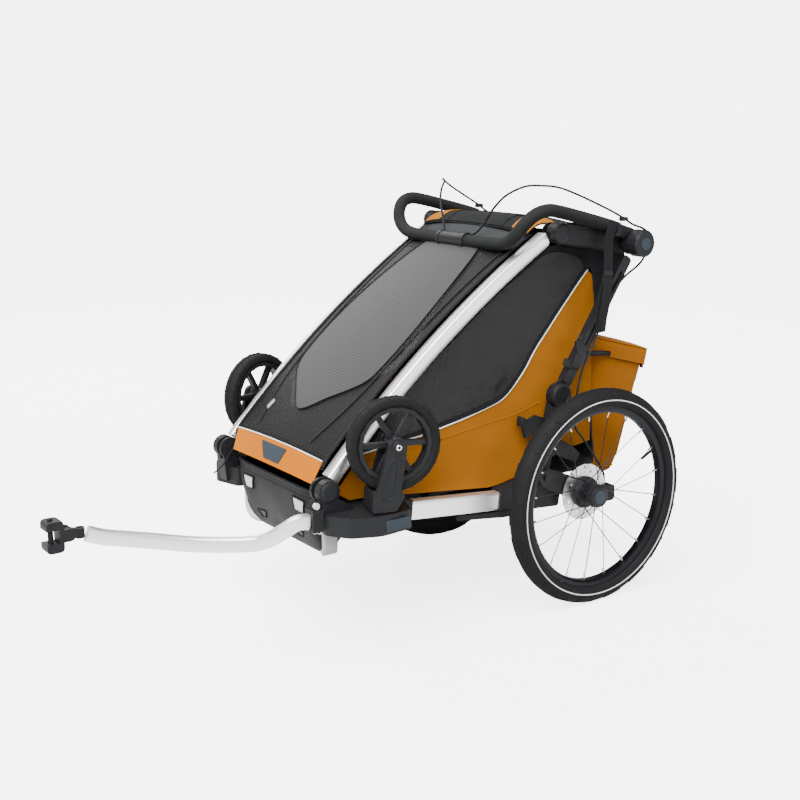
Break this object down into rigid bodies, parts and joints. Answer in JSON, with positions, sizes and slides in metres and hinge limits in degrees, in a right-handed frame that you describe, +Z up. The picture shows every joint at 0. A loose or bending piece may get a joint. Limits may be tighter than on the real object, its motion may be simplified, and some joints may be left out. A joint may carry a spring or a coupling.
{
  "type": "child bike trailer",
  "caption": "Folding child bike trailer with spoked wheels, disc brakes, sprung arms, stowed stroller wheels, push bar, fabric cabin, bag and tow arm.",
  "frame": {"origin": "the middle of the footprint, on the ground under the big wheels", "axes": "+Y from the tow hitch at the front to the bag at the back, +X to the trailer's left, +Z up"},
  "size_m": [0.6418, 1.4712, 0.9516],
  "materials": {
    "tyre": "matte",
    "black_rim": "satin",
    "disc_steel": "satin",
    "slate_plastic": "matte",
    "black_casting": "satin",
    "anodised": "satin",
    "pale_bar": "satin",
    "black_plastic": "matte",
    "foam": "matte",
    "cable": "satin",
    "webbing": "matte",
    "pale_plastic": "satin",
    "tub": "matte",
    "dark_cloth": "matte",
    "amber_cloth": "matte"
  },
  "bodies": {
    "base": {"side_rail_left": "anodised", "side_rail_right": "anodised", "front_bracket_left": "black_plastic", "front_bracket_right": "black_plastic", "rear_bracket_left": "black_plastic", "rear_bracket_right": "black_plastic", "axle_cross_tube": "anodised", "front_hoop": "pale_bar", "footwell": "tub", "cabin_liner": "dark_cloth", "tow_socket": "black_plastic", "tow_arm": "anodised", "seat_pad": "dark_cloth", "seat_back": "dark_cloth", "side_panel_left": "amber_cloth", "side_panel_right": "amber_cloth", "cargo_bag": "amber_cloth", "brake_cable_lower_left": "cable", "brake_cable_lower_right": "cable"},
    "front_frame": {"front_tube_left": "anodised", "front_tube_right": "anodised", "front_cover": "dark_cloth"},
    "upper_frame": {"upper_arm_left": "black_plastic", "upper_arm_right": "black_plastic", "roof": "dark_cloth", "bar_ring_left": "black_plastic", "bar_ring_right": "black_plastic"},
    "rear_posts": {"rear_post_left": "black_casting", "rear_post_right": "black_casting"},
    "push_bar": {"handlebar": "foam", "bar_hub_left": "black_plastic", "bar_hub_right": "black_plastic", "brake_cable_left": "cable", "brake_cable_right": "cable", "wrist_strap": "webbing"},
    "brake_twist_grip": {"brake_grip": "black_plastic"},
    "yaw_knuckle": {"hitch_knuckle": "black_casting"},
    "hitch": {"hitch_clevis": "black_casting"},
    "tow_button": {"tow_release_button": "pale_plastic"},
    "lid": {"bag_lid": "amber_cloth"},
    "bar_button_left": {"bar_button_left": "slate_plastic"},
    "axle_arm_left": {"axle_arm_left": "black_casting"},
    "wheel_left": {"tyre_left": "tyre", "rim_left": "black_rim", "spoked_hub_left": "black_rim", "brake_disc_left": "disc_steel"},
    "wheel_button_left": {"wheel_button_left": "slate_plastic"},
    "fork_left": {"fork_left": "black_plastic"},
    "stroller_wheel_left": {"caster_wheel_left": "black_plastic", "caster_tyre_left": "tyre"},
    "bar_button_right": {"bar_button_right": "slate_plastic"},
    "axle_arm_right": {"axle_arm_right": "black_casting"},
    "wheel_right": {"tyre_right": "tyre", "rim_right": "black_rim", "spoked_hub_right": "black_rim", "brake_disc_right": "disc_steel"},
    "wheel_button_right": {"wheel_button_right": "slate_plastic"},
    "fork_right": {"fork_right": "black_plastic"},
    "stroller_wheel_right": {"caster_wheel_right": "black_plastic", "caster_tyre_right": "tyre"}
  },
  "joints": [
    {"name": "frame_fold", "type": "hinge", "parent": "base", "child": "front_frame", "pos_m": [0, -0.21357, 0.36], "axis": [-1, 0, 0], "range_deg": [0, 6], "deforming": ["front_cover", "roof", "seat_pad", "seat_back", "cabin_liner", "cargo_bag", "bag_lid", "side_panel_left", "side_panel_right", "brake_cable_lower_left", "brake_cable_lower_right"]},
    {"name": "upper_fold", "type": "hinge", "parent": "front_frame", "child": "upper_frame", "pos_m": [0, 0.38443, 0.848], "axis": [1, 0, 0], "range_deg": [0, 12.3], "deforming": ["front_cover", "roof", "seat_pad", "seat_back", "cabin_liner", "cargo_bag", "bag_lid", "side_panel_left", "side_panel_right", "brake_cable_lower_left", "brake_cable_lower_right"]},
    {"name": "post_fold", "type": "hinge", "parent": "base", "child": "rear_posts", "pos_m": [0, 0.38843, 0.484], "axis": [-1, 0, 0], "range_deg": [0, 11.6], "deforming": ["front_cover", "roof", "seat_pad", "seat_back", "cabin_liner", "cargo_bag", "bag_lid", "side_panel_left", "side_panel_right", "brake_cable_lower_left", "brake_cable_lower_right"]},
    {"name": "push_bar_turn", "type": "hinge", "parent": "upper_frame", "child": "push_bar", "pos_m": [0, 0.58543, 0.818], "axis": [-1, 0, 0], "range_deg": [0, 180], "deforming": ["brake_cable_lower_left", "brake_cable_lower_right"]},
    {"name": "grip_twist", "type": "hinge", "parent": "push_bar", "child": "brake_twist_grip", "pos_m": [0, 0.27243, 0.823], "axis": [1, 0, 0], "range_deg": [0, 25], "stiffness_Nm_per_rad": 0.6},
    {"name": "hitch_yaw", "type": "hinge", "parent": "base", "child": "yaw_knuckle", "pos_m": [0.04924, -0.66462, 0.31526], "axis": [0, 0, 1], "range_deg": [-45, 45]},
    {"name": "hitch_pitch", "type": "hinge", "parent": "yaw_knuckle", "child": "hitch", "pos_m": [0.05, -0.68957, 0.319], "axis": [1, 0, 0], "range_deg": [-20, 20]},
    {"name": "tow_button_press", "type": "slide", "parent": "base", "child": "tow_button", "axis": [-1, 0, 0], "range_m": [0, 0.004], "stiffness_N_per_m": 400},
    {"name": "lid_open", "type": "hinge", "parent": "base", "child": "lid", "pos_m": [0, 0.53843, 0.5986], "axis": [1, 0, 0], "range_deg": [0, 55]},
    {"name": "bar_button_press_left", "type": "slide", "parent": "push_bar", "child": "bar_button_left", "axis": [-1, 0, 0], "range_m": [0, 0.004], "stiffness_N_per_m": 400},
    {"name": "suspension_left", "type": "hinge", "parent": "base", "child": "axle_arm_left", "pos_m": [0.2492, 0.33643, 0.305], "axis": [1, 0, 0], "range_deg": [-4, 6], "stiffness_Nm_per_rad": 400, "springref_deg": -1.72, "deforming": ["brake_cable_lower_left", "brake_cable_lower_right"]},
    {"name": "wheel_spin_left", "type": "hinge", "parent": "axle_arm_left", "child": "wheel_left", "pos_m": [0.2955, 0.46043, 0.25], "axis": [1, 0, 0], "continuous": true},
    {"name": "wheel_button_press_left", "type": "slide", "parent": "wheel_left", "child": "wheel_button_left", "axis": [-1, 0, 0], "range_m": [0, 0.003], "stiffness_N_per_m": 400},
    {"name": "fork_swivel_left", "type": "hinge", "parent": "base", "child": "fork_left", "pos_m": [0.275, -0.11857, 0.3165], "axis": [0, 0, 1], "range_deg": [-15, 10]},
    {"name": "stroller_wheel_spin_left", "type": "hinge", "parent": "fork_left", "child": "stroller_wheel_left", "pos_m": [0.28225, -0.09153, 0.454], "axis": [0.9659, -0.2588, 0], "continuous": true},
    {"name": "bar_button_press_right", "type": "slide", "parent": "push_bar", "child": "bar_button_right", "axis": [1, 0, 0], "range_m": [0, 0.004], "stiffness_N_per_m": 400},
    {"name": "suspension_right", "type": "hinge", "parent": "base", "child": "axle_arm_right", "pos_m": [-0.2492, 0.33643, 0.305], "axis": [1, 0, 0], "range_deg": [-4, 6], "stiffness_Nm_per_rad": 400, "springref_deg": -1.72, "deforming": ["brake_cable_lower_left", "brake_cable_lower_right"]},
    {"name": "wheel_spin_right", "type": "hinge", "parent": "axle_arm_right", "child": "wheel_right", "pos_m": [-0.2955, 0.46043, 0.25], "axis": [1, 0, 0], "continuous": true},
    {"name": "wheel_button_press_right", "type": "slide", "parent": "wheel_right", "child": "wheel_button_right", "axis": [1, 0, 0], "range_m": [0, 0.003], "stiffness_N_per_m": 400},
    {"name": "fork_swivel_right", "type": "hinge", "parent": "base", "child": "fork_right", "pos_m": [-0.275, -0.11857, 0.3165], "axis": [0, 0, -1], "range_deg": [-15, 10]},
    {"name": "stroller_wheel_spin_right", "type": "hinge", "parent": "fork_right", "child": "stroller_wheel_right", "pos_m": [-0.28225, -0.09153, 0.454], "axis": [0.9659, 0.2588, 0], "continuous": true}
  ],
  "couplings": [
    {"joint": "upper_fold", "follows": "frame_fold", "ratio": 2.04},
    {"joint": "post_fold", "follows": "frame_fold", "ratio": 1.919}
  ]
}
